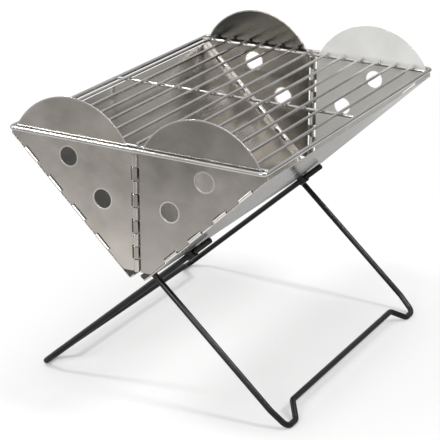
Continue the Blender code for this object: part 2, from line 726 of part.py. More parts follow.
# the grill
def build():
    """Make every piece."""
    clear_scene()
    panel_steel = material("panel_steel", (0.62, 0.60, 0.57), 0.34, 1.0)
    grate_steel = material("grate_steel", (0.66, 0.65, 0.63), 0.28, 1.0)
    pin_steel = material("pin_steel", (0.55, 0.54, 0.52), 0.35, 1.0)
    leg_black = material("leg_black", (0.015, 0.015, 0.016), 0.42, 0.0)

    side_panel("side_panel_left", -1, 0, panel_steel)
    side_panel("side_panel_right", 1, 1, panel_steel)
    for end_name, end in (("near", -1), ("far", 1)):
        end_panel(f"end_panel_{end_name}_left", -1, end, 0, panel_steel)
        end_panel(f"end_panel_{end_name}_right", 1, end, 1, panel_steel)
        centre_pin(f"centre_hinge_pin_{end_name}", end, pin_steel)
    ridge_pin("ridge_hinge_pin", pin_steel)

    grate_rim(grate_steel)
    grate_rod("grate_end_rod_near", -END_ROD_Y, grate_steel)
    grate_rod("grate_mid_rod", 0.0, grate_steel)
    grate_rod("grate_end_rod_far", END_ROD_Y, grate_steel)
    for index in range(BAR_COUNT):
        grate_bar(index, grate_steel)

    front_spans = (END_PANEL_Y - FRONT_TOP_INSET, END_PANEL_Y - FRONT_FOOT_INSET)
    rear_spans = (END_PANEL_Y - REAR_TOP_INSET, END_PANEL_Y - REAR_FOOT_INSET)
    for frame, hand, spans in (("front", -1, front_spans), ("rear", 1, rear_spans)):
        leg_frame(f"leg_frame_{frame}", hand, *spans, leg_black)
        for end_name, end in (("near", -1), ("far", 1)):
            y = end * spans[0] + LEG_SHIFT
            leg_socket(f"leg_socket_{frame}_{end_name}", hand, y, leg_black)
            leg_collar(f"leg_collar_{frame}_{end_name}", hand, y, leg_black)


build()
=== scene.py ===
import math

import bmesh
import bpy
import numpy as np
from mathutils import Matrix, Vector


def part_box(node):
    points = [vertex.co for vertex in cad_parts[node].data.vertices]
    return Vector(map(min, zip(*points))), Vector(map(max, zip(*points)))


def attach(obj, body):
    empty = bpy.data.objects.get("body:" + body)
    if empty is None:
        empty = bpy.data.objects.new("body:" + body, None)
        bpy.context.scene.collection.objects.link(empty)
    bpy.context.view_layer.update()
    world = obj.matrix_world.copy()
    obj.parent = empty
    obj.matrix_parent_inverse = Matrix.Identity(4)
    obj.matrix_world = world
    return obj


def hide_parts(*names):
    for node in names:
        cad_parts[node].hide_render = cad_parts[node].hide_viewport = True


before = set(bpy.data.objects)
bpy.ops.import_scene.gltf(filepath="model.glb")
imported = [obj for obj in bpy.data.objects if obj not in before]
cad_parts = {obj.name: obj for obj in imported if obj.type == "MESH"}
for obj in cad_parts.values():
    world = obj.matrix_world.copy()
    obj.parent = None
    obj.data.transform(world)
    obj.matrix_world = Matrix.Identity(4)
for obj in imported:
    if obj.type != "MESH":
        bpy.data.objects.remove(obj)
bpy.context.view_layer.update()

# Camera, floor and studio.
# A long lens looks along the near end panels from the right, a little from above,
# over a white floor that keeps soft grey shadows of the trough and of the leg wires.
VIEW_AZIMUTH_DEG = 29.294
VIEW_ELEVATION_DEG = 21.584
VIEW_DISTANCE = 1.64273
FOCAL_PIXELS = 1650.15
IMAGE_PIXELS = 440
SENSOR = 36.0
AIM_RIGHT = -0.01208
AIM_UP = -0.12025
FIT_ORIGIN_HEIGHT = 0.2659
CLIP_NEAR = 0.05
CLIP_FAR = 100.0


def photo_camera():
    """Camera on the ray from the aim point: back = (sin a cos e, -cos a cos e, sin e) times distance."""
    turn = math.radians(VIEW_AZIMUTH_DEG)
    rise = math.radians(VIEW_ELEVATION_DEG)
    back = Vector((math.sin(turn) * math.cos(rise), -math.cos(turn) * math.cos(rise), math.sin(rise)))
    right = Vector((math.cos(turn), math.sin(turn), 0.0))
    up = back.cross(right)
    aim = Vector((0.0, 0.0, FIT_ORIGIN_HEIGHT)) + right * AIM_RIGHT + up * AIM_UP
    data = bpy.data.cameras.new("photo_camera")
    data.sensor_width = SENSOR
    data.lens = FOCAL_PIXELS * SENSOR / IMAGE_PIXELS
    data.clip_start = CLIP_NEAR
    data.clip_end = CLIP_FAR
    camera = bpy.data.objects.new("photo_camera", data)
    bpy.context.scene.collection.objects.link(camera)
    turned = Matrix((right, up, back)).transposed().to_4x4()
    camera.matrix_world = Matrix.Translation(aim + back * VIEW_DISTANCE) @ turned
    return camera


bpy.context.scene.camera = photo_camera()
bpy.context.scene.view_settings.view_transform = "Standard"


class Sum:
    """A shader socket that can stand in a Python expression."""

    def __init__(self, tree, socket):
        self.tree = tree
        self.socket = socket

    def calc(self, operation, first, second):
        """One Math node."""
        node = self.tree.nodes.new("ShaderNodeMath")
        node.operation = operation
        for slot, value in zip(node.inputs, (first, second)):
            if isinstance(value, Sum):
                self.tree.links.new(value.socket, slot)
            else:
                slot.default_value = value
        return Sum(self.tree, node.outputs[0])

    def __add__(self, other):
        return self.calc("ADD", self, other)

    __radd__ = __add__

    def __sub__(self, other):
        return self.calc("SUBTRACT", self, other)

    def __rsub__(self, other):
        return self.calc("SUBTRACT", other, self)

    def __mul__(self, other):
        return self.calc("MULTIPLY", self, other)

    __rmul__ = __mul__

    def __truediv__(self, other):
        return self.calc("DIVIDE", self, other)

    def power(self, exponent):
        """The value to a power."""
        return self.calc("POWER", self, exponent)

    def least(self, level):
        """The value, but never below the level."""
        return self.calc("MAXIMUM", self, level)

    def absolute(self):
        """The value without its sign."""
        return self.calc("ABSOLUTE", self, 0.0)

    def over(self, level):
        """1 where the value is above level, else 0."""
        return self.calc("GREATER_THAN", self, level)

    def limited(self):
        """The value held between 0 and 1."""
        node = self.tree.nodes.new("ShaderNodeClamp")
        self.tree.links.new(self.socket, node.inputs[0])
        return Sum(self.tree, node.outputs[0])


class Finish:
    """A material under construction, with its Principled shader."""

    def __init__(self, name):
        self.material = bpy.data.materials.new(name)
        self.material.use_nodes = True
        self.tree = self.material.node_tree
        self.shader = self.tree.nodes["Principled BSDF"]

    def node(self, kind, settings=None, values=None, output=0):
        """Add a node: its settings first, then the values or links of its sockets."""
        made = self.tree.nodes.new(kind)
        for name, value in (settings or {}).items():
            setattr(made, name, value)
        for name, value in (values or {}).items():
            if isinstance(value, Sum):
                self.tree.links.new(value.socket, made.inputs[name])
            else:
                made.inputs[name].default_value = value
        return Sum(self.tree, made.outputs[output])

    def ramp(self, factor, stops):
        """A colour ramp through (place, colour) stops."""
        made = self.tree.nodes.new("ShaderNodeValToRGB")
        elements = made.color_ramp.elements
        while len(elements) < len(stops):
            elements.new(0.5)
        for element, (place, colour) in zip(elements, stops):
            element.position = place
            element.color = (*colour, 1.0)
        self.tree.links.new(factor.socket, made.inputs[0])
        return Sum(self.tree, made.outputs[0])

    def place(self, scale=(1.0, 1.0, 1.0), turn=(0.0, 0.0, 0.0)):
        """Object coordinates, stretched and turned."""
        coordinates = self.node("ShaderNodeTexCoord", output=3)
        return self.node("ShaderNodeMapping", None,
                         {"Vector": coordinates, "Scale": scale, "Rotation": turn})

    def noise(self, where, scale, detail=3.0, roughness=0.5):
        """Plain noise from 0 to 1."""
        return self.node("ShaderNodeTexNoise", None,
                         {"Vector": where, "Scale": scale, "Detail": detail, "Roughness": roughness})

    def blend(self, factor, first, second):
        """Colour between first and second."""
        made = self.tree.nodes.new("ShaderNodeMix")
        made.data_type = "RGBA"
        self.tree.links.new(factor.socket, made.inputs["Factor"])
        for socket, value in ((made.inputs[6], first), (made.inputs[7], second)):
            if isinstance(value, Sum):
                self.tree.links.new(value.socket, socket)
            else:
                socket.default_value = (*value, 1.0)
        return Sum(self.tree, made.outputs[2])

    def bump(self, height, strength, distance):
        """Send a height to the shader's normal."""
        normal = self.node("ShaderNodeBump", None,
                           {"Height": height, "Strength": strength, "Distance": distance})
        self.link("Normal", normal)

    def link(self, socket, value):
        """Link a varying value to the shader, or set a plain one."""
        if isinstance(value, Sum):
            self.tree.links.new(value.socket, self.shader.inputs[socket])
        else:
            self.shader.inputs[socket].default_value = value


FLOOR_SIZE = 30.0
FLOOR_DROP = 0.0002
# POOL_* and UNDER_* place a painted pool of light and a painted shade under the trough in the floor colour
# that polished steel mirrors; MIRROR_* are those painted tones.
POOL_MIDDLE = (0.0, 0.30)
POOL_RADIUS = 0.60
POOL_FADE = 0.55
UNDER_MIDDLE = (-0.14, 0.20)
UNDER_RADIUS = 0.32
UNDER_FADE = 0.42
FLOOR_WHITE = (0.74, 0.74, 0.74)
MIRROR_PAINTED_LIGHT = (0.83, 0.815, 0.80)
MIRROR_PAINTED_DIM = (0.27, 0.265, 0.26)
MIRROR_PAINTED_SHADE = (0.41, 0.413, 0.415)
SHADOW_KEPT = 0.75
CAMERA_WHITE = 1.15
PAPER_ROUGH = 0.9


def studio_floor():
    """A wide white floor whose unshadowed paper the camera sees as plain white.

    Polished steel mirrors it in a painted tone: a painted pool of light, painted darker beyond it, with
    painted shade under the trough.
    """
    half = FLOOR_SIZE / 2
    mesh = bpy.data.meshes.new("studio_floor")
    corners = [(-half, -half, -FLOOR_DROP), (half, -half, -FLOOR_DROP),
               (half, half, -FLOOR_DROP), (-half, half, -FLOOR_DROP)]
    mesh.from_pydata(corners, [], [(0, 1, 2, 3)])
    floor = bpy.data.objects.new("studio_floor", mesh)
    bpy.context.scene.collection.objects.link(floor)
    paper = Finish("floor_white")
    split = paper.tree.nodes.new("ShaderNodeSeparateXYZ")
    paper.tree.links.new(paper.place().socket, split.inputs[0])

    def distance(middle, radius, fade):
        """0 within radius of a floor point, rising to 1 over the fade."""
        across = Sum(paper.tree, split.outputs[0]) - middle[0]
        along = Sum(paper.tree, split.outputs[1]) - middle[1]
        return (((across * across + along * along).power(0.5) - radius) / fade).limited()

    away = distance(POOL_MIDDLE, POOL_RADIUS, POOL_FADE)
    clear = distance(UNDER_MIDDLE, UNDER_RADIUS, UNDER_FADE)
    # Painted light and shade: the floor colour seen by glossy rays, lit in the pool and shaded under the
    # trough.
    mirrored = paper.blend(away, paper.blend(clear, MIRROR_PAINTED_SHADE, MIRROR_PAINTED_LIGHT), MIRROR_PAINTED_DIM)
    camera_seen = paper.node("ShaderNodeLightPath")
    mirror_seen = paper.node("ShaderNodeLightPath", output=3)
    paper.link("Base Color", paper.blend(mirror_seen, FLOOR_WHITE, mirrored))
    paper.link("Roughness", PAPER_ROUGH)
    paper.link("Specular IOR Level", 0.0)
    share = camera_seen * ((1.0 - SHADOW_KEPT) + away * SHADOW_KEPT)
    glow = paper.tree.nodes.new("ShaderNodeEmission")
    glow.inputs["Strength"].default_value = CAMERA_WHITE
    mixed = paper.tree.nodes.new("ShaderNodeMixShader")
    paper.tree.links.new(share.socket, mixed.inputs[0])
    paper.tree.links.new(paper.shader.outputs[0], mixed.inputs[1])
    paper.tree.links.new(glow.outputs[0], mixed.inputs[2])
    paper.tree.links.new(mixed.outputs[0], paper.tree.nodes["Material Output"].inputs["Surface"])
    mesh.materials.append(paper.material)


def soft_lamp(name, place, aim, size, power):
    """A square soft box that faces the aim point."""
    data = bpy.data.lights.new(name, "AREA")
    data.shape = "SQUARE"
    data.size = size
    data.energy = power
    lamp = bpy.data.objects.new(name, data)
    lamp.location = place
    lamp.rotation_euler = (Vector(aim) - Vector(place)).to_track_quat("-Z", "Y").to_euler()
    bpy.context.scene.collection.objects.link(lamp)


studio_floor()
BODY_MIDDLE = (0.0, 0.0, 0.18)
LAMPS = (
    ("soft_box_top", (0.1, 0.5, 2.3), 0.7, 8.0),
    ("soft_box_high_right", (1.25, 0.1, 1.8), 0.3, 15.0),
    ("soft_box_high_left", (-1.15, -0.3, 1.85), 0.3, 13.0),
    ("soft_box_left", (-2.2, -1.0, 1.2), 1.4, 10.0),
    ("soft_box_front", (0.15, -2.0, 1.15), 0.8, 19.0))
for lamp_name, lamp_place, lamp_size, lamp_power in LAMPS:
    soft_lamp(lamp_name, lamp_place, BODY_MIDDLE, lamp_size, lamp_power)

HORIZON_LEVEL = 0.36
ZENITH_LEVEL = 0.90
DARK_SIDE = 0.24

world = bpy.data.worlds.new("studio")
world.use_nodes = True
bpy.context.scene.world = world
air = world.node_tree
air.nodes["Background"].inputs["Color"].default_value = (1.0, 1.0, 1.0, 1.0)
looking = air.nodes.new("ShaderNodeTexCoord")
heading = air.nodes.new("ShaderNodeSeparateXYZ")
air.links.new(looking.outputs["Generated"], heading.inputs[0])
seen = air.nodes.new("ShaderNodeLightPath")
height = Sum(air, heading.outputs[2]).limited()
room = HORIZON_LEVEL + height * (ZENITH_LEVEL - HORIZON_LEVEL) - Sum(air, heading.outputs[0]) * DARK_SIDE
camera_ray = Sum(air, seen.outputs["Is Camera Ray"])
strength = room + camera_ray * (1.0 - room)
air.links.new(strength.socket, air.nodes["Background"].inputs["Strength"])

# Side panels.
# Two rectangles of 0.8 mm stainless sheet, laser cut, each with its foot bent up into a flange
# and hinged to the other along the raised ridge by rolled knuckles.  Cold-rolled finish: warm
# grey, faintly streaked, cloudy where it was handled; inside, painted a little lighter, with painted shade
# below the grate and towards the near end.
SLOPE = math.radians(43.6)
EDGE_ROUND = 0.00016
EDGE_SHARP_DEG = 35.0
EDGE_SEGMENTS = 2
WELD_REACH = 2e-6
FLAT_DEG = 1.0
WIDEST_CUT = 0.0008
ROLL_START = 0.1790
FACING_SKIN = 0.97
FACING_BACK = 0.9
FACING_EDGE = 0.25
FACING_HALF = 0.5
STEEL_DARK = (0.40, 0.378, 0.352)
STEEL_LIGHT = (0.56, 0.535, 0.505)
# Bright colour of cut edges, partly a painted highlight; rolled tabs, margins and the hinge strip are
# painted with it as highlights.
CUT_EDGE_AND_HIGHLIGHT = (0.80, 0.78, 0.76)
END_Y = 0.1825
# Painted shade on the inner skin of the side panels towards the near end.
SHADE_START = 0.0
SHADE_SPAN = 0.74
SHADED_STEEL = (0.13, 0.128, 0.122)
OLIVE_STEEL = (0.37, 0.375, 0.32)
# Inner skin of the side panels: painted a little lighter and warmer than the outer skin (painted light);
# its last colour is the painted shade below the grate.
SIDE_PAINTED_BACK = ((0.435, 0.407, 0.368), (0.62, 0.585, 0.535), (0.475, 0.447, 0.41), 0.22)
# Painted shade below the grate: top, fade and strength of the darker band on the inner skins.
GRATE_SHADE_TOP = 0.274
GRATE_SHADE_FADE = 0.012
GRATE_SHADE_SHARE = 0.9
LEAST_ROUGH = 0.13
VEE_HEIGHT = 0.1325
STRIP_WIDTH = 0.0052
# Width and strength of the painted highlight bands beside the flap arc and round the vents.
MARGIN_WIDTH = 0.0014
MARGIN_HIGHLIGHT = 0.75
STREAK_STRETCH = (4.0, 4.0, 90.0)
STREAK_SCALE = 22.0
CLOUD_SCALE = 11.0
SMUDGE_SCALE = 38.0
SMUDGE_TURN = (0.4, 0.7, 0.2)
GRAIN_DETAIL = 3.0
GRAIN_ROUGHNESS = 0.55
TONE_SHARES = (0.5, 0.32, 0.18)
GLOSS_SHARES = (0.20, 0.20, 0.08)
TONE_STOPS = (0.36, 0.64)
HEAT_SCALE = 7.0
HEAT_DETAIL = 2.0
HEAT_TURN = (0.2, 0.1, 0.9)
HEAT_CONTRAST = 1.6
WAVE_SCALE = 6.0
WAVE_DETAIL = 2.0
WAVE_STRENGTH = 0.15
WAVE_DEPTH = 0.01


def softened(node_name, width, body):
    """A copy of a CAD piece with its loose triangles merged, flats joined and every edge rounded.
    """
    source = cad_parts[node_name]
    mesh = source.data.copy()
    mesh.name = f"{node_name}_finished"
    work = bmesh.new()
    work.from_mesh(mesh)
    bmesh.ops.remove_doubles(work, verts=work.verts, dist=WELD_REACH)
    flat = math.radians(FLAT_DEG)
    bmesh.ops.dissolve_limit(work, angle_limit=flat, verts=work.verts, edges=work.edges)
    work.to_mesh(mesh)
    work.free()
    count = len(mesh.polygons)
    mesh.polygons.foreach_set("use_smooth", np.ones(count, dtype=bool))
    mesh.set_sharp_from_angle(angle=math.radians(EDGE_SHARP_DEG))
    mesh.materials.clear()
    piece = bpy.data.objects.new(mesh.name, mesh)
    bpy.context.scene.collection.objects.link(piece)
    bevel = piece.modifiers.new("edge", "BEVEL")
    bevel.width = width
    bevel.segments = EDGE_SEGMENTS
    bevel.limit_method = "ANGLE"
    bevel.angle_limit = math.radians(EDGE_SHARP_DEG)
    bevel.harden_normals = True
    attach(piece, body)
    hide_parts(node_name)
    return piece


def mark_cut(piece, skin_normal):
    """Store cut = 1 on cut edges and on rolled tabs, which take a painted highlight, inner = 1 on the back
    of the sheet and of its flange.

    A face is told by how far it looks along skin_normal (1: the outer skin, -1: the back, 0: an edge).
    """
    mesh = piece.data
    count = len(mesh.polygons)
    normals = np.empty(count * 3)
    mesh.polygons.foreach_get("normal", normals)
    facing = normals.reshape(-1, 3)
    across = facing @ np.array(skin_normal)
    flange = (facing @ np.cross(skin_normal, (0.0, 1.0, 0.0))) * skin_normal[0]
    areas = np.empty(count)
    mesh.polygons.foreach_get("area", areas)
    centres = np.empty(count * 3)
    mesh.polygons.foreach_get("center", centres)
    slanted = abs(skin_normal[1]) < FACING_HALF
    # Rolled tabs are flagged as cut so that they take a painted highlight.
    rolled = (np.abs(centres[1::3]) > ROLL_START) & (np.abs(across) < FACING_SKIN) & slanted
    bare_or_highlight = ((np.abs(across) < FACING_EDGE) & (areas < WIDEST_CUT)) | rolled
    back = (across < -FACING_BACK) | (flange > FACING_HALF) & (areas > WIDEST_CUT)
    for name, flag in (("cut", bare_or_highlight), ("inner", back)):
        mesh.attributes.new(name, "FLOAT", "FACE").data.foreach_set("value", flag.astype(np.float32))


def weighted(parts, shares):
    """The sum of the parts, each times its share."""
    return sum(part * share for part, share in zip(parts, shares))


def sheet_steel(name, dark, light, rough, back=None, shaded=False, margins=(), strip=0.0):
    """Rolled sheet: fine streaks along the grain, clouds and smudges of tone and gloss, a slight waviness.

    back is the (dark, light, low, roughness) of the skin that faces the fire, whose tones are painted
    lighter or darker than the outer skin as painted light and painted shade: its tone runs into the colour
    low, a painted shade, over a short fade below the grate.
    shaded paints shade on that skin towards the near end, where the end panel keeps the light out.
    margins are circles (x, z, radius, side, lowest): the sheet is painted bright on one side of
    each, where side (distance from the centre - radius) lies between 0 and MARGIN_WIDTH and z is
    above lowest: a painted highlight along the flap's arc and a bright ring round each vent.
    strip is how brightly the border along the slant hinge is painted inside as a highlight,
    within STRIP_WIDTH of the slope that the side panel follows.
    """
    steel = Finish(name)
    split = steel.tree.nodes.new("ShaderNodeSeparateXYZ")
    steel.tree.links.new(steel.place().socket, split.inputs[0])
    x, y, z = (Sum(steel.tree, output) for output in split.outputs)
    streaks = steel.noise(steel.place(STREAK_STRETCH), STREAK_SCALE, GRAIN_DETAIL, GRAIN_ROUGHNESS)
    clouds = steel.noise(steel.place(), CLOUD_SCALE, GRAIN_DETAIL, GRAIN_ROUGHNESS)
    smudges = steel.noise(steel.place(turn=SMUDGE_TURN), SMUDGE_SCALE, GRAIN_DETAIL, GRAIN_ROUGHNESS)
    parts = (clouds, smudges, streaks)
    tone = weighted(parts, TONE_SHARES)
    skin = steel.ramp(tone, list(zip(TONE_STOPS, (dark, light))))
    heat = steel.noise(steel.place(turn=HEAT_TURN), HEAT_SCALE, HEAT_DETAIL)
    skin = steel.blend(((heat - 0.5) * HEAT_CONTRAST).limited(), skin, OLIVE_STEEL)
    inside = steel.node("ShaderNodeAttribute", {"attribute_name": "inner"}, None, 2)
    gloss = weighted([part - 0.5 for part in parts], GLOSS_SHARES) + rough
    if back:
        back_dark, back_light, back_grate_shade, back_rough = back
        painted_back_tone = steel.ramp(tone, list(zip(TONE_STOPS, (back_dark, back_light))))
        # Painted shade: below the grate the inner skin runs into the back's low colour.
        painted_grate_shade = ((GRATE_SHADE_TOP - z) / GRATE_SHADE_FADE).limited() * GRATE_SHADE_SHARE
        skin = steel.blend(inside, skin, steel.blend(painted_grate_shade, painted_back_tone, back_grate_shade))
        gloss = gloss + inside * (back_rough - rough)
    # Painted shade towards the near end of the inner skin.
    if shaded:
        near = y / -END_Y
        dim = ((near - SHADE_START) / SHADE_SPAN).limited() * inside
        skin = steel.blend(dim, skin, SHADED_STEEL)
    edge = steel.node("ShaderNodeAttribute", {"attribute_name": "cut"}, None, 2)
    # Painted highlight bands beside the flap arc and round the vents.
    for centre_x, centre_z, radius, side, lowest in margins:
        across = x.absolute() - centre_x
        upward = z - centre_z
        apart = ((across * across + upward * upward).power(0.5) - radius) * side
        band = apart.over(0.0) * (MARGIN_WIDTH - apart).over(0.0) * z.over(lowest)
        edge = edge + band * MARGIN_HIGHLIGHT
    # Painted highlight along the slant hinge on the inner skin.
    if strip:
        inward = (z - VEE_HEIGHT) * math.cos(SLOPE) - x.absolute() * math.sin(SLOPE)
        edge = edge + (STRIP_WIDTH - inward).over(0.0) * inside * strip
    edge = edge.limited()
    # The edge mask lifts cut edges and the painted highlights (rolled tabs, margins, hinge strip) to the
    # bright edge colour.
    steel.link("Base Color", steel.blend(edge, skin, CUT_EDGE_AND_HIGHLIGHT))
    steel.link("Metallic", 1.0)
    steel.link("Roughness", gloss.least(LEAST_ROUGH))
    steel.bump(steel.noise(steel.place(), WAVE_SCALE, WAVE_DETAIL), WAVE_STRENGTH, WAVE_DEPTH)
    return steel.material


def dress(piece, material):
    """Give a piece its material."""
    piece.data.materials.clear()
    piece.data.materials.append(material)


side_steel = sheet_steel("side_steel", STEEL_DARK, STEEL_LIGHT, 0.22, SIDE_PAINTED_BACK, shaded=True)
for hand_name, hand in (("left", -1), ("right", 1)):
    panel = softened(f"side_panel_{hand_name}", EDGE_ROUND, f"{hand_name}_side")
    mark_cut(panel, (hand * math.sin(SLOPE), 0.0, -math.cos(SLOPE)))
    dress(panel, side_steel)

# Hinge pins.
# Drawn stainless wire, pushed through the rolled knuckles.
PIN_TONES = ((0.42, 0.41, 0.39), (0.55, 0.54, 0.52), 0.32)
pin_steel = sheet_steel("pin_steel", *PIN_TONES)
for name in ("ridge_hinge_pin", "centre_hinge_pin_near", "centre_hinge_pin_far"):
    dress(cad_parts[name], pin_steel)

# End panels.
# Four pieces of the same sheet, each with an arched flap, two round vents, knuckles rolled
# round the centre pin and slots that the tabs of the side panel curl through.  Their tones are
# painted: outside, the near left one lighter and the near right one darker (painted light and
# painted shade); inside, painted shade on the near ones and the far left one, painted light on the far
# right one.
FLAP_HALF_WIDTH = 0.0632
FLAP_RISE = 0.04104
SHOULDER = 0.26606
FLAP_X = 0.0692
FLAP_RADIUS = (FLAP_HALF_WIDTH ** 2 + FLAP_RISE ** 2) / (2 * FLAP_RISE)
FLAP_Z = SHOULDER + FLAP_RISE - FLAP_RADIUS
VENT_RADIUS = 0.00925
VENTS = ((0.07263, 0.24930), (0.03618, 0.21391))
FLAP_CIRCLE = (FLAP_X, FLAP_Z, FLAP_RADIUS, -1.0, SHOULDER)
VENT_CIRCLES = [(x, z, VENT_RADIUS, 1.0, 0.0) for x, z in VENTS]
# Painted light and shade: the same steel in a lighter near left tone, a darker near right tone, darker
# backs near and far left and a bright back far right.
NEAR_LEFT_PAINTED_LIGHT_TONES = ((0.46, 0.435, 0.402), (0.68, 0.648, 0.605), 0.20)
NEAR_RIGHT_PAINTED_SHADE_TONES = ((0.32, 0.302, 0.282), (0.485, 0.463, 0.435), 0.20)
END_TONES = ((0.35, 0.33, 0.307), (0.53, 0.505, 0.475), 0.20)
NEAR_PAINTED_SHADE_BACK = ((0.30, 0.285, 0.265), (0.46, 0.44, 0.415), (0.38, 0.363, 0.34), 0.45)
FAR_LEFT_PAINTED_SHADE_BACK = ((0.05, 0.049, 0.046), (0.125, 0.122, 0.112), (0.13, 0.126, 0.116), 0.24)
FAR_RIGHT_PAINTED_LIGHT_BACK = ((0.82, 0.825, 0.815), (0.93, 0.935, 0.925), (0.64, 0.645, 0.63), 0.70)
# Painted highlights: bright bands along the flap arc and round the vents, and a bright border along the
# far left slant hinge.
BRIGHT_MARGINS = [FLAP_CIRCLE, *VENT_CIRCLES]
FAR_STRIP_HIGHLIGHT = 0.45
end_looks = {
    ("near", "left"): sheet_steel("near_left_end_steel", *NEAR_LEFT_PAINTED_LIGHT_TONES, NEAR_PAINTED_SHADE_BACK, margins=BRIGHT_MARGINS),
    ("near", "right"): sheet_steel("near_right_end_steel", *NEAR_RIGHT_PAINTED_SHADE_TONES, NEAR_PAINTED_SHADE_BACK, margins=BRIGHT_MARGINS),
    ("far", "left"): sheet_steel("far_left_end_steel", *END_TONES, FAR_LEFT_PAINTED_SHADE_BACK, margins=BRIGHT_MARGINS,
                                   strip=FAR_STRIP_HIGHLIGHT),
    ("far", "right"): sheet_steel("far_right_end_steel", *END_TONES, FAR_RIGHT_PAINTED_LIGHT_BACK)}
for (end_name, hand_name), look in end_looks.items():
    panel = softened(f"end_panel_{end_name}_{hand_name}", EDGE_ROUND,
                     f"end_{end_name}_{hand_name}")
    mark_cut(panel, (0.0, -1.0 if end_name == "near" else 1.0, 0.0))
    dress(panel, look)

# Grate.
# A bent rim of drawn wire, three cross rods inside it and thirteen bars across them,
# all bright stainless, spot-welded wherever two wires meet.
RIM_RADIUS = 0.0022
RIM_CORNER = 0.0050
ROD_RADIUS = 0.0017
BAR_RADIUS = 0.0015
RIM_SIDES = 32
BAR_SIDES = 20
END_ROUND = 0.0004
END_STEPS = 4
CORNER_STEPS = 12
WIRE_STATIONS = 9
LINE_STRETCH = (60.0, 1.0, 60.0)
LINE_SCALE = 22.0
LINE_DETAIL = 2.0
LINE_STRENGTH = 0.08
LINE_DEPTH = 0.0006
TINT_SCALE = 26.0
TINT_ROUGHNESS = 0.6
TINT_GLOSS = 0.14
WIRE_STOPS = (0.35, 0.65)
GRATE_TONES = ((0.50, 0.49, 0.48), (0.67, 0.66, 0.65), 0.14)


def wire_skin(name, path, lift, radius, closed, sides):
    """Round wire along a flat path: point = path(s) + r(s) (cos t side(s) + sin t lift).

    lift is the normal of the plane that the wire is bent in and side = direction x lift.
    r(s) is the radius, and shrinks over a small rounding at the two ends of an open wire.
    """
    path = np.asarray(path, dtype=float)
    if closed:
        ahead = np.roll(path, -1, axis=0) - path
        behind = path - np.roll(path, 1, axis=0)
    else:
        step = np.diff(path, axis=0)
        ahead = np.vstack([step, step[-1:]])
        behind = np.vstack([step[:1], step])
    ahead /= np.linalg.norm(ahead, axis=1, keepdims=True)
    behind /= np.linalg.norm(behind, axis=1, keepdims=True)
    heading = ahead + behind
    heading /= np.linalg.norm(heading, axis=1, keepdims=True)
    size = np.full(len(path), radius)
    if not closed:
        turn = np.linspace(0.0, math.pi / 2, END_STEPS)
        back = END_ROUND * (1 - np.sin(turn))[:, None]
        slim = radius - END_ROUND * (1 - np.cos(turn))
        first = path[0] + heading[0] * back
        last = path[-1] - heading[-1] * back
        path = np.vstack([first[::-1], path[1:-1], last])
        heading = np.vstack([np.repeat(heading[:1], END_STEPS, 0), heading[1:-1],
                             np.repeat(heading[-1:], END_STEPS, 0)])
        size = np.concatenate([slim[::-1], size[1:-1], slim])
    lift = np.asarray(lift, dtype=float)
    side = np.cross(heading, lift)
    angle = np.arange(sides) * 2 * math.pi / sides
    ring = side[:, None, :] * np.cos(angle)[None, :, None] + lift * np.sin(angle)[None, :, None]
    points = path[:, None, :] + ring * size[:, None, None]
    index = np.arange(len(path) * sides).reshape(-1, sides)
    rows = np.vstack([index, index[:1]]) if closed else index
    here, there = rows[:-1], rows[1:]
    quads = np.stack([here, there, np.roll(there, -1, 1), np.roll(here, -1, 1)], -1)
    faces = quads.reshape(-1, 4).tolist()
    if not closed:
        faces += [index[0].tolist(), index[-1][::-1].tolist()]
    return add_piece(name, points.reshape(-1, 3), faces)


def add_piece(name, points, faces):
    """A smooth-shaded object at the origin from finished points and faces."""
    mesh = bpy.data.meshes.new(name)
    mesh.from_pydata(points.tolist(), [], faces)
    mesh.polygons.foreach_set("use_smooth", np.ones(len(faces), dtype=bool))
    mesh.update()
    piece = bpy.data.objects.new(name, mesh)
    bpy.context.scene.collection.objects.link(piece)
    return piece


def drawn_wire(name, dark, light, rough):
    """Bright drawn wire: lengthwise die lines, faint heat tint, a slightly uneven gloss."""
    wire = Finish(name)
    lines = wire.noise(wire.place(LINE_STRETCH), LINE_SCALE, LINE_DETAIL)
    tint = wire.noise(wire.place(), TINT_SCALE, roughness=TINT_ROUGHNESS)
    tone = wire.ramp((lines + tint) * 0.5, list(zip(WIRE_STOPS, (dark, light))))
    wire.link("Base Color", tone)
    wire.link("Metallic", 1.0)
    wire.link("Roughness", rough + (tint - 0.5) * TINT_GLOSS)
    wire.bump(lines, LINE_STRENGTH, LINE_DEPTH)
    return wire.material


grate_wire = drawn_wire("grate_wire", *GRATE_TONES)


def hang_on(piece, material, body, slot, *nodes):
    """Dress a new piece, let it ride and let it stand for its CAD nodes."""
    dress(piece, material)
    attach(piece, body)
    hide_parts(*nodes)


def rounded_loop(low, high, radius, height, steps):
    """Rectangle low..high with round corners.

    Each is its centre + radius (cos t, sin t) over one quarter turn.
    """
    centres = np.array([(high[0] - radius, high[1] - radius), (low[0] + radius, high[1] - radius),
                        (low[0] + radius, low[1] + radius), (high[0] - radius, low[1] + radius)])
    angle = np.linspace(0.0, math.pi / 2, steps)[None, :] + np.arange(4)[:, None] * math.pi / 2
    flat = centres[:, None, :] + radius * np.stack([np.cos(angle), np.sin(angle)], -1)
    flat = flat.reshape(-1, 2)
    return np.column_stack([flat, np.full(len(flat), height)])


rim_low, rim_high = (np.array(corner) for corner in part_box("grate_rim_wire"))
rim_height = (rim_low[2] + rim_high[2]) / 2
rim_path = rounded_loop(rim_low[:2] + RIM_RADIUS, rim_high[:2] - RIM_RADIUS,
                        RIM_CORNER, rim_height, CORNER_STEPS)
rim = wire_skin("rim_wire", rim_path, (0.0, 0.0, 1.0), RIM_RADIUS, True, RIM_SIDES)
hang_on(rim, grate_wire, "grate", "grate_steel", "grate_rim_wire")


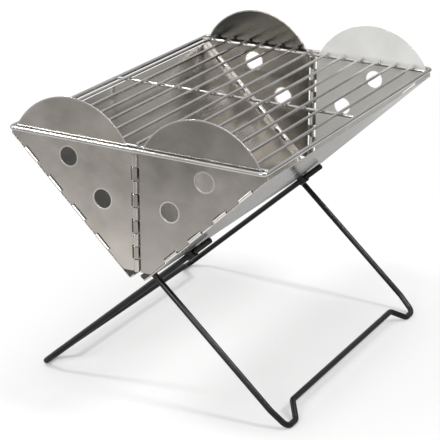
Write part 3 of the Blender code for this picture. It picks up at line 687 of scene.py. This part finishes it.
def straight_wire(name, node, radius, along, sides):
    """A straight wire through the middle of a CAD node's box, as long as the box on the axis along."""
    low, high = (np.array(corner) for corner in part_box(node))
    start, stop = (low + high) / 2, (low + high) / 2
    start[along], stop[along] = low[along], high[along]
    share = np.linspace(0.0, 1.0, WIRE_STATIONS)[:, None]
    return wire_skin(name, start + (stop - start) * share, (0.0, 0.0, 1.0), radius, False, sides)


rods = ("grate_end_rod_near", "grate_mid_rod", "grate_end_rod_far")
for node in rods:
    rod = straight_wire(f"{node}_round", node, ROD_RADIUS, 0, BAR_SIDES)
    hang_on(rod, grate_wire, "grate", "grate_steel", node)
bars = sorted(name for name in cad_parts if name.startswith("grate_bar_"))
for node in bars:
    bar = straight_wire(f"{node}_round", node, BAR_RADIUS, 1, BAR_SIDES)
    hang_on(bar, grate_wire, "grate", "grate_steel", node)

BEAD_RADII = (0.0019, 0.0019, 0.0011)
BEAD_ROWS = 5
BEAD_SIDES = 10
WELD_TONES = ((0.34, 0.32, 0.30), (0.56, 0.54, 0.52), 0.38)


def weld_beads(name, centres, radii):
    """Flattened beads: centre + (a sin u cos v, b sin u sin v, c cos u), u pole to pole, v round."""
    centres = np.asarray(centres, dtype=float)
    u = np.linspace(0.0, math.pi, BEAD_ROWS + 2)[1:-1][:, None]
    v = np.arange(BEAD_SIDES)[None, :] * 2 * math.pi / BEAD_SIDES
    grid = np.stack([np.sin(u) * np.cos(v), np.sin(u) * np.sin(v), np.cos(u) * np.ones_like(v)], -1)
    shape = np.vstack([grid.reshape(-1, 3), (0.0, 0.0, 1.0), (0.0, 0.0, -1.0)]) * np.array(radii)
    index = np.arange(BEAD_ROWS * BEAD_SIDES).reshape(BEAD_ROWS, BEAD_SIDES)
    here, there = index[:-1], index[1:]
    quads = np.stack([here, there, np.roll(there, -1, 1), np.roll(here, -1, 1)], -1).reshape(-1, 4)
    top = np.column_stack([np.full(BEAD_SIDES, index.size), index[0], np.roll(index[0], -1)])
    foot = np.column_stack([np.full(BEAD_SIDES, index.size + 1), np.roll(index[-1], -1), index[-1]])
    shift = np.arange(len(centres))[:, None, None] * len(shape)
    points = (centres[:, None, :] + shape).reshape(-1, 3)
    faces = []
    for block in (quads, top, foot):
        faces += (block[None] + shift).reshape(-1, block.shape[1]).tolist()
    return add_piece(name, points, faces)


def middle(node):
    """Middle of a CAD node's box."""
    low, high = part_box(node)
    return (np.array(low) + np.array(high)) / 2


crossings = []
for rod_node in rods:
    rod_middle = middle(rod_node)
    for bar_node in bars:
        bar_middle = middle(bar_node)
        touch = (rod_middle[2] + ROD_RADIUS + bar_middle[2] - BAR_RADIUS) / 2
        crossings.append((bar_middle[0], rod_middle[1], touch))
    for edge in (rim_low[0] + 2 * RIM_RADIUS, rim_high[0] - 2 * RIM_RADIUS):
        crossings.append((edge, rod_middle[1], rod_middle[2]))
beads = weld_beads("grate_weld_beads", crossings, BEAD_RADII)
weld_steel = drawn_wire("weld_steel", *WELD_TONES)
dress(beads, weld_steel)
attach(beads, "grate")

# Leg frames.
# Two bent 6 mm steel wires with a satin black powder coat.  Each lies along the outside of a
# side panel, held by two straps, and crosses the other under the ridge.
WIRE_RADIUS = 0.0030
LEG_SLOPE = math.radians(41.83)
CROSSING_HEIGHT = 0.1278
LEG_TOP = 0.0525
ARM_STRAIGHT = 0.0500
FOOT_AXIS_HEIGHT = 0.0026
LEG_SHIFT = 0.0060
FRONT_SPANS = (0.1530, 0.1530)
REAR_SPANS = (0.1195, 0.1520)
FOOT_BEND_START = 0.0220
FOOT_RUN = (0.0038, 0.0209, 0.0370)
CROSSBAR_RECESS = 0.0160
FOOT_BEND_RADII = (0.0200, 0.0080, 0.0070, 0.0060)
ARM_BEND_RADIUS = 0.0300
BEND_STEPS = 10
LEAST_BEND = 1e-3
WIRE_SIDES = 28
PEEL_SCALE = 900.0
PEEL_DETAIL = 2.0
PEEL_STRENGTH = 0.12
PEEL_DEPTH = 0.0004
RUBBED_SCALE = 40.0
RUBBED_ROUGHNESS = 0.6
COAT_SHARES = (0.6, 0.4)
COAT_STOPS = [(0.35, (0.001, 0.001, 0.0015)), (0.68, (0.005, 0.005, 0.006))]
COAT_ROUGH = 0.20
COAT_ROUGH_SHARES = (0.14, 0.05)
COAT_IOR = 1.45
FOOT_DISTANCE = (CROSSING_HEIGHT - FOOT_AXIS_HEIGHT) / math.sin(LEG_SLOPE)


def bent_track(corners):
    """Flat path through (u, v, radius) corners, each inner one an arc that is tangent to both sides.

    The arc's middle is the corner + unit(before + after) r / sin(half), half the angle between the sides.
    """
    track = [np.array(corners[0][:2])[None]]
    for k in range(1, len(corners) - 1):
        here = np.array(corners[k][:2])
        radius = corners[k][2]
        before = np.array(corners[k - 1][:2]) - here
        after = np.array(corners[k + 1][:2]) - here
        before /= np.linalg.norm(before)
        after /= np.linalg.norm(after)
        half = math.acos(float(before @ after)) / 2
        if math.pi - 2 * half < LEAST_BEND:
            continue
        inward = (before + after) / np.linalg.norm(before + after)
        centre = here + inward * radius / math.sin(half)
        start = here + before * radius / math.tan(half) - centre
        stop = here + after * radius / math.tan(half) - centre
        turn = math.pi - 2 * half
        share = np.linspace(0.0, 1.0, BEND_STEPS)[:, None]
        arc = (start * np.sin((1 - share) * turn) + stop * np.sin(share * turn)) / math.sin(turn)
        track.append(centre + arc)
    track.append(np.array(corners[-1][:2])[None])
    return np.vstack(track)


def leg_corners(top_span, foot_span):
    """Corners (y, distance below the crossing, bend radius) of a leg wire, from arm top to arm top."""
    half = [(top_span, -LEG_TOP, ARM_BEND_RADIUS),
            (top_span, ARM_STRAIGHT - LEG_TOP, ARM_BEND_RADIUS),
            (foot_span, FOOT_DISTANCE - FOOT_BEND_START, FOOT_BEND_RADII[0]),
            (foot_span - FOOT_RUN[0], FOOT_DISTANCE, FOOT_BEND_RADII[1]),
            (foot_span - FOOT_RUN[1], FOOT_DISTANCE, FOOT_BEND_RADII[2]),
            (foot_span - FOOT_RUN[2], FOOT_DISTANCE - CROSSBAR_RECESS, FOOT_BEND_RADII[3])]
    mirrored = [(-y, drop, radius) for y, drop, radius in half[::-1]]
    return [(y + LEG_SHIFT, drop, radius) for y, drop, radius in half + mirrored]


def leg_wire(name, hand, spans):
    """A leg wire in its sloping plane: x = -hand drop cos a, z = crossing - drop sin a.

    Its feet are pressed flat at z = 0.
    """
    flat = bent_track(leg_corners(*spans))
    path = np.column_stack([-hand * flat[:, 1] * math.cos(LEG_SLOPE), flat[:, 0],
                            CROSSING_HEIGHT - flat[:, 1] * math.sin(LEG_SLOPE)])
    lift = (hand * math.sin(LEG_SLOPE), 0.0, -math.cos(LEG_SLOPE))
    piece = wire_skin(name, path, lift, WIRE_RADIUS, False, WIRE_SIDES)
    points = np.empty(len(piece.data.vertices) * 3)
    piece.data.vertices.foreach_get("co", points)
    points = points.reshape(-1, 3)
    points[:, 2] = np.maximum(points[:, 2], 0.0)
    piece.data.vertices.foreach_set("co", points.reshape(-1))
    return piece


def powder_coat():
    """Satin black coating: a fine orange-peel bump, rubbed a little glossier in patches."""
    coat = Finish("leg_coat")
    peel = coat.noise(coat.place(), PEEL_SCALE, PEEL_DETAIL)
    rubbed = coat.noise(coat.place(), RUBBED_SCALE, roughness=RUBBED_ROUGHNESS)
    parts = (rubbed, peel)
    coat.link("Base Color", coat.ramp(weighted(parts, COAT_SHARES), COAT_STOPS))
    coat.link("Roughness", weighted(parts, COAT_ROUGH_SHARES) + COAT_ROUGH)
    coat.link("IOR", COAT_IOR)
    coat.bump(peel, PEEL_STRENGTH, PEEL_DEPTH)
    return coat.material


leg_coat = powder_coat()
front_wire = leg_wire("front_leg_wire", -1, FRONT_SPANS)
hang_on(front_wire, leg_coat, "front_leg", "leg_black", "leg_frame_front")
rear_wire = leg_wire("rear_leg_wire", 1, REAR_SPANS)
hang_on(rear_wire, leg_coat, "rear_leg", "leg_black", "leg_frame_rear")

# Leg straps and stop rings.
# Short black straps welded on the side panels hold the leg wires; an open ring pressed on
# each arm stops it at its strap.
STRAP_ROUND = 0.0002
LEG_BODIES = (("front", "left_side", "front_leg"), ("rear", "right_side", "rear_leg"))
for frame_name, strap_body, ring_body in LEG_BODIES:
    for end_name in ("near", "far"):
        strap = softened(f"leg_socket_{frame_name}_{end_name}", STRAP_ROUND, strap_body)
        dress(strap, leg_coat)
        ring = softened(f"leg_collar_{frame_name}_{end_name}", STRAP_ROUND, ring_body)
        dress(ring, leg_coat)
